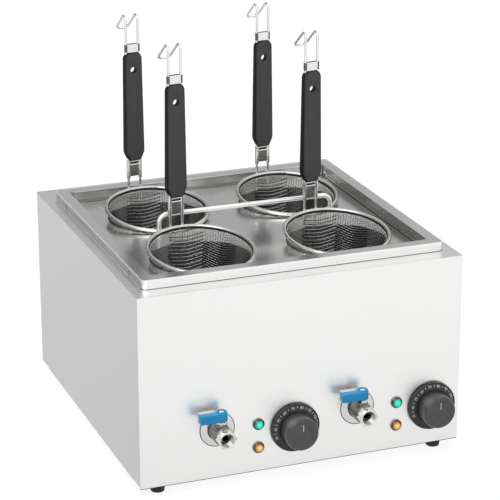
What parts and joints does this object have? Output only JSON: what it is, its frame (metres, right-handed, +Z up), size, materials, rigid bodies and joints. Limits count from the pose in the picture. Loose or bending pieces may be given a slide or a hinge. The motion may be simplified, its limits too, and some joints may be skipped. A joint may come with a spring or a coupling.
{
  "type": "pasta cooker",
  "caption": "Countertop electric pasta cooker: steel box with drained wells, lift-out mesh baskets with tall hooked handles on a lift plate, ball-valve taps, lamps and dials.",
  "frame": {"origin": "middle of the whole object's footprint, on the surface that the feet stand on", "axes": "+Z up, -Y out of the front panel with the taps and dials, +X to the right seen from the front"},
  "size_m": [0.43, 0.5016, 0.5185],
  "materials": {
    "casing_steel": "satin stainless sheet",
    "tank_steel": "satin stainless sheet",
    "plate_steel": "satin stainless sheet, reflective",
    "wire_steel": "polished stainless wire",
    "mesh_steel": "woven stainless wire",
    "nickel": "nickel-plated brass",
    "heater_steel": "dull heating tube",
    "blue_plastic": "dipped plastic sleeve",
    "knob_plastic": "moulded, satin",
    "grip_plastic": "moulded, fine grained",
    "gland_plastic": "moulded",
    "white_plastic": "moulded",
    "rubber": "moulded rubber",
    "green_lens": "tinted clear dome",
    "amber_lens": "tinted clear dome"
  },
  "bodies": {
    "cooker": {"front_panel": "casing_steel", "left_side_panel": "casing_steel", "right_side_panel": "casing_steel", "rear_panel": "casing_steel", "base_plate": "casing_steel", "feet": "rubber", "foot_screws": "wire_steel", "tank_frame": "tank_steel", "frame_rivets": "wire_steel", "well_deck": "tank_steel", "tank_left": "tank_steel", "tank_right": "tank_steel", "drain_nipples": "nickel", "tap_discs": "nickel", "valve_body_left": "nickel", "valve_body_right": "nickel", "gland_nuts": "nickel", "thermostat_left": "white_plastic", "thermostat_right": "white_plastic", "sensing_bulbs": "wire_steel", "heater_left": "heater_steel", "heater_right": "heater_steel", "lamp_holders": "white_plastic", "green_lenses": "green_lens", "amber_lenses": "amber_lens", "terminal_block": "white_plastic", "cable_gland": "gland_plastic"},
    "tap_left": {"tap_lever_left": "blue_plastic", "valve_stem_left": "nickel", "valve_ball_left": "nickel"},
    "dial_left": {"knob_left": "knob_plastic", "thermostat_shaft_left": "nickel"},
    "tap_right": {"tap_lever_right": "blue_plastic", "valve_stem_right": "nickel", "valve_ball_right": "nickel"},
    "dial_right": {"knob_right": "knob_plastic", "thermostat_shaft_right": "nickel"},
    "plate": {"basket_plate": "plate_steel", "lift_bar": "wire_steel"},
    "basket_front_left": {"mesh_cup_front_left": "mesh_steel", "basket_rim_front_left": "wire_steel", "handle_wire_front_left": "wire_steel", "handle_clips_front_left": "wire_steel", "grip_front_left": "grip_plastic"},
    "basket_front_right": {"mesh_cup_front_right": "mesh_steel", "basket_rim_front_right": "wire_steel", "handle_wire_front_right": "wire_steel", "handle_clips_front_right": "wire_steel", "grip_front_right": "grip_plastic"},
    "basket_rear_left": {"mesh_cup_rear_left": "mesh_steel", "basket_rim_rear_left": "wire_steel", "handle_wire_rear_left": "wire_steel", "handle_clips_rear_left": "wire_steel", "grip_rear_left": "grip_plastic"},
    "basket_rear_right": {"mesh_cup_rear_right": "mesh_steel", "basket_rim_rear_right": "wire_steel", "handle_wire_rear_right": "wire_steel", "handle_clips_rear_right": "wire_steel", "grip_rear_right": "grip_plastic"}
  },
  "joints": [
    {"name": "tap_left_turn", "type": "hinge", "parent": "cooker", "child": "tap_left", "pos_m": [-0.1145, -0.22925, 0.077], "axis": [0, 0, 1], "range_deg": [0, 90]},
    {"name": "dial_left_turn", "type": "hinge", "parent": "cooker", "child": "dial_left", "pos_m": [-0.0115, -0.21325, 0.064], "axis": [0, 1, 0], "range_deg": [0, 270]},
    {"name": "tap_right_turn", "type": "hinge", "parent": "cooker", "child": "tap_right", "pos_m": [0.0735, -0.22925, 0.077], "axis": [0, 0, 1], "range_deg": [0, 90]},
    {"name": "dial_right_turn", "type": "hinge", "parent": "cooker", "child": "dial_right", "pos_m": [0.1765, -0.21325, 0.064], "axis": [0, 1, 0], "range_deg": [0, 270]},
    {"name": "plate_lift", "type": "slide", "parent": "cooker", "child": "plate", "axis": [0, 0, 1], "range_m": [0, 0.18]},
    {"name": "basket_front_left_lift", "type": "slide", "parent": "plate", "child": "basket_front_left", "axis": [0, 0, 1], "range_m": [0, 0.18]},
    {"name": "basket_front_right_lift", "type": "slide", "parent": "plate", "child": "basket_front_right", "axis": [0, 0, 1], "range_m": [0, 0.18]},
    {"name": "basket_rear_left_lift", "type": "slide", "parent": "plate", "child": "basket_rear_left", "axis": [0, 0, 1], "range_m": [0, 0.18]},
    {"name": "basket_rear_right_lift", "type": "slide", "parent": "plate", "child": "basket_rear_right", "axis": [0, 0, 1], "range_m": [0, 0.18]}
  ]
}
